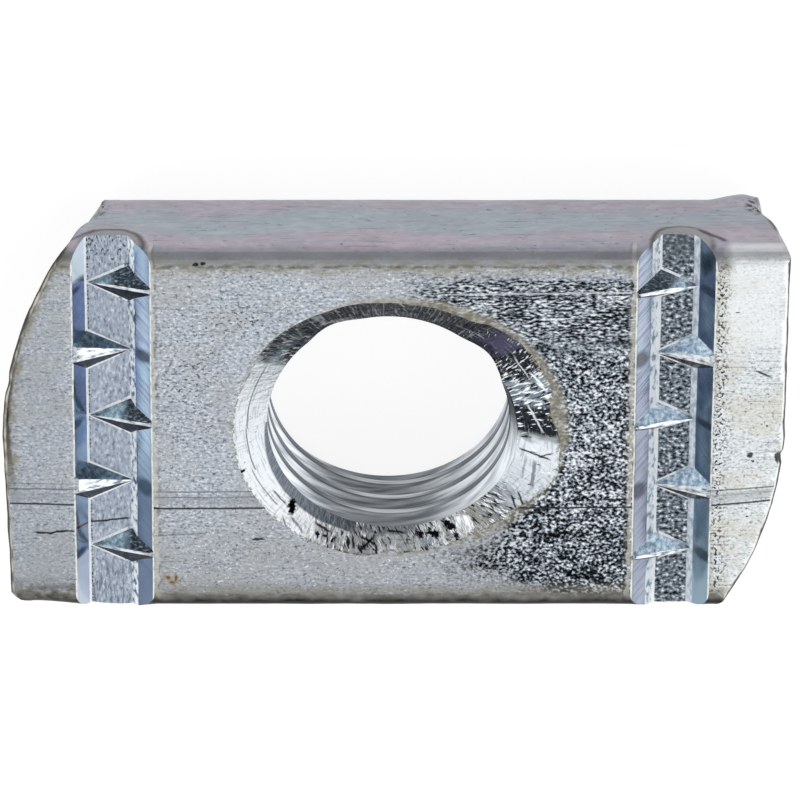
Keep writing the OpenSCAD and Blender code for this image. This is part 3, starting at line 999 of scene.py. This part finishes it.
    # Gouges, chips and smears: lines by their ends and width, then blots by their centre and reach
    for begin, end, width, code in (
        ((-5.28, -3.23), (-4.75, -3.92), 0.07, "#4b5158"), ((-4.89, -4.39), (-4.67, -4.95), 0.07, "#6a6f75"),
        ((-4.50, -4.50), (-3.96, -5.20), 0.09, "#7d8287"), ((-3.44, -4.90), (-2.78, -5.35), 0.09, "#15171a"),
        ((-5.70, -4.00), (-5.32, -4.46), 0.09, "#22262b"), ((-0.25, -5.45), (0.50, -5.50), 0.08, "#14161a"),
        ((-1.45, -5.60), (-0.75, -5.95), 0.10, "#0b0c0e"), ((-1.35, -6.05), (-0.80, -5.65), 0.09, "#0b0c0e"),
        ((5.60, -1.20), (6.95, -1.46), 0.09, "#0f1114"), ((6.50, -1.42), (7.05, -1.12), 0.07, "#24272b"),
        ((6.05, 2.90), (6.62, 2.30), 0.13, "#f4f6f8"), ((6.30, 2.45), (6.75, 2.10), 0.10, "#eef1f3"),
        ((5.36, 3.60), (5.95, 2.65), 0.06, "#d5d9dc"), ((5.95, 1.15), (6.62, -0.10), 0.08, "#c9ced2"),
        ((2.02, -4.95), (2.36, -5.75), 0.16, "#f4f6f8"), ((5.50, 2.10), (6.10, 2.35), 0.08, "#e6eaed"),
        ((5.60, 1.70), (6.30, 1.92), 0.08, "#dfe4e8"), ((5.75, 1.35), (6.60, 1.50), 0.07, "#c5ced4"),
        ((6.30, -1.70), (6.15, -2.90), 0.16, "#7b8087"), ((5.90, -1.60), (5.72, -2.60), 0.10, "#9aa0a6"),
        ((5.23, -3.36), (5.50, -3.90), 0.10, "#15171a"), ((5.55, -3.20), (5.82, -3.75), 0.09, "#1d1f22"),
    ):
        colour = layer(colour, [(both(stroke(ragged, begin, end, width), 0.95), code)])
    for centre, reach, code in (
        ((-4.46, -4.07), (0.17, 0.32), "#040404"), ((-3.35, -5.39), (0.08, 0.12), "#1a1c1f"),
        ((-3.04, -5.49), (0.09, 0.07), "#2a2d31"), ((-2.65, -5.64), (0.08, 0.09), "#17191c"),
        ((-6.60, -1.95), (0.13, 0.08), "#111214"), ((0.05, -5.95), (0.15, 0.20), "#f1f3f5"),
        ((1.80, -5.40), (0.32, 0.13), "#0c0e10"), ((1.26, -5.50), (0.14, 0.10), "#1b1e22"),
        ((1.60, -5.70), (0.32, 0.13), "#b9c6cf"), ((1.13, -5.85), (0.11, 0.22), "#f4f6f8"),
        ((2.54, -5.05), (0.30, 0.13), "#0c0e10"), ((2.81, -5.40), (0.13, 0.11), "#15171a"),
        ((3.20, -4.90), (0.42, 0.32), "#f6f8f9"), ((1.90, -4.75), (0.50, 0.16), "#3f4449"),
    ):
        colour = layer(colour, [(between(rounds(broken, centre, reach), None, 1, 0.4), code)])
    height = grain(polar, (0.2, 0.4, 1), 3.0, 3.0)
    plate(colour, 0.30, height, 0.04)
    return material


def cut_thread():
    """Tapped thread: bright flanks, with crests and roots painted dark as shade, strongest at the sides of
    the bore.
    """
    material, tree, place = start("zinc_over_cut_thread")
    x, y, z = add(tree, "SeparateXYZ", {0: place}, take=None)
    pinched = add(tree, "Math", {0: y, 1: 1 - bore_pinch}, operation="DIVIDE")
    pinched = add(tree, "Math", {0: pinched, 1: y}, operation="MINIMUM")
    level = add(tree, "CombineXYZ", {0: x, 1: pinched, 2: z})
    reach = rounds(level, (bore_x, 0), (1, 1))
    streak = grain(place, (2.0, 2.0, 0.08), 2.0)
    colour = (streak, ((0.34, "#8f959b"), (0.50, "#c3c8cd"), (0.66, "#e3e7ea")))
    # Crests: a painted dark reflection; roots: painted shade
    crest = between(reach, None, bore_r + 0.05, 0.03)
    root = between(reach, bore_r + thread_depth - 0.08, None, 0.06)
    aside = add(tree, "Math", {0: x}, operation="ABSOLUTE")
    aside = add(tree, "MapRange", {0: aside, 1: 1.2, 2: 3.2, 3: 0.30, 4: 0.95})
    # Near the countersink on the +Y side: painted shade
    mouth = both(between(z, nut_t - sink_depth - 0.1, None, 0.2), between(y, -0.8, None, 2.0), 0.9)
    colour = layer(colour, [
        (both(between(x, 2.5, None, 2.0), 0.35), "#a5a9ac"),
        (both(crest, aside), "#50565d"),
        (both(root, aside), "#4b5157"),
        (mouth, (streak, ((0.36, "#1f2226"), (0.5, "#3a3e43"), (0.64, "#777b80")))),
    ])
    plate(colour, 0.30, streak, 0.006)
    return material


FINISHES = [
    rolled_skin, sheared_end, coined_wall, coined_floor, painted_foot_highlight, tooth_flank, tooth_crest,
    torn_countersink, cut_thread,
]


# ---------------------------------------------------------------- nut

def channel_nut():
    body = blank()
    for finish in FINISHES:
        body.data.materials.append(finish())
    combine(body, sink_cutter(), "DIFFERENCE")
    combine(body, bore_cutter(), "DIFFERENCE")
    combine(body, back_sink_cutter(), "DIFFERENCE")
    combine(body, thread_cutter(), "DIFFERENCE")
    right, left = seat(1, 0.11, 0), seat(-1, 0, -0.5)
    combine(body, groove(1, right, 0.62, (0.44, 0.42), 0.66, (0.26, 0.16)), "DIFFERENCE")
    combine(body, groove(-1, left, 0.67, (0.29, 0.38), 0.50, (0.10, 0.12)), "DIFFERENCE")
    for side, place, shift in ((1, right, 0.19), (-1, left, 0.37)):
        for i in range(teeth):
            tooth(body, side, place, i % 2 == 0, shift + (i - 2) * tooth_pitch)
    bm = bmesh.new()
    bm.from_mesh(body.data)
    slice_up(bm)
    wear(bm)
    bmesh.ops.dissolve_degenerate(bm, dist=2e-3, edges=bm.edges)
    bmesh.ops.triangulate(bm, faces=bm.faces)
    bmesh.ops.scale(bm, vec=(MM, MM, MM), verts=bm.verts)
    bm.to_mesh(body.data)
    bm.free()
    body.data.shade_smooth()
    body.data.set_sharp_from_angle(angle=math.radians(25))
    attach(body, "root")
    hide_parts("channel_nut")
    return body


# ---------------------------------------------------------------- studio

def camera():
    """Looks down on the face from the +Y side, 30 degrees off its normal."""
    tilt = math.radians(30.3)
    distance = 0.29
    seen = 35.1 * MM
    aim = Vector((0.33 * MM, 1.70 * MM, high.z))
    data = bpy.data.cameras.new("camera")
    data.sensor_width = 36
    data.lens = data.sensor_width * distance / seen
    data.clip_start = 0.01
    data.clip_end = 10
    item = bpy.data.objects.new("camera", data)
    item.location = aim + distance * Vector((0, math.sin(tilt), math.cos(tilt)))
    item.rotation_euler = (-tilt, 0, 0)
    bpy.context.scene.collection.objects.link(item)
    bpy.context.scene.camera = item


def floor():
    """White sweep: camera and mirror rays see it near white, with the nut's soft shadow kept."""
    bm = bmesh.new()
    bmesh.ops.create_grid(bm, x_segments=1, y_segments=1, size=1.5)
    item = new_object("floor", bm)
    item.location.z = -0.02 * MM
    material = bpy.data.materials.new("white_floor")
    material.use_nodes = True
    tree = material.node_tree
    tree.nodes.clear()
    path = add(tree, "LightPath", take=None)
    seen = path["Is Camera Ray"]
    for kind in ("Is Glossy Ray", "Is Transmission Ray"):
        seen = add(tree, "Math", {0: seen, 1: path[kind]}, operation="MAXIMUM")
    glow = add(tree, "Emission", {0: (1, 1, 1, 1), 1: 0.86})
    lit = add(tree, "BsdfDiffuse", {0: (0.22, 0.22, 0.22, 1)})
    shown = add(tree, "AddShader", {0: glow, 1: lit})
    plain_floor = add(tree, "BsdfDiffuse", {0: (0.8, 0.8, 0.8, 1)})
    mix = add(tree, "MixShader", {0: seen, 1: plain_floor, 2: shown})
    add(tree, "OutputMaterial", {0: mix}, take=None)
    item.data.materials.append(material)


def studio():
    """Soft light tent: bright round the sides, dimmer behind the camera."""
    world = bpy.data.worlds.new("studio")
    world.use_nodes = True
    tree = world.node_tree
    tree.nodes.clear()
    way = add(tree, "TexCoord", take="Generated")
    x, _, z = add(tree, "SeparateXYZ", {0: way}, take=None)
    behind = {0: way, 1: (0, 0.60, 0.80)}
    behind = add(tree, "VectorMath", behind, operation="DOT_PRODUCT", take="Value")
    dim = add(tree, "MapRange", {0: behind, 1: 0.70, 2: 0.97, 3: 0.0, 4: 0.62})
    aside = add(tree, "Math", {0: x}, operation="ABSOLUTE")
    box = both(between(aside, 0.55, None, 0.2), between(z, 0.15, 0.8, 0.2), 0.7)
    level = add(tree, "Math", {0: box, 1: 0.88}, operation="ADD")
    level = add(tree, "Math", {0: level, 1: dim}, operation="SUBTRACT")
    light = add(tree, "Background", {0: (0.97, 0.985, 1.0, 1), 1: level})
    add(tree, "OutputWorld", {0: light}, take=None)
    bpy.context.scene.world = world
    lamp = bpy.data.lights.new("key", "AREA")
    lamp.energy, lamp.size = 0.35, 0.25
    item = bpy.data.objects.new("key", lamp)
    item.location = (0.35, -0.35, 0.5)
    item.rotation_euler = (-item.location).to_track_quat("-Z", "Y").to_euler()
    bpy.context.scene.collection.objects.link(item)


camera()
channel_nut()
floor()
studio()
bpy.context.scene.view_settings.view_transform = "Standard"
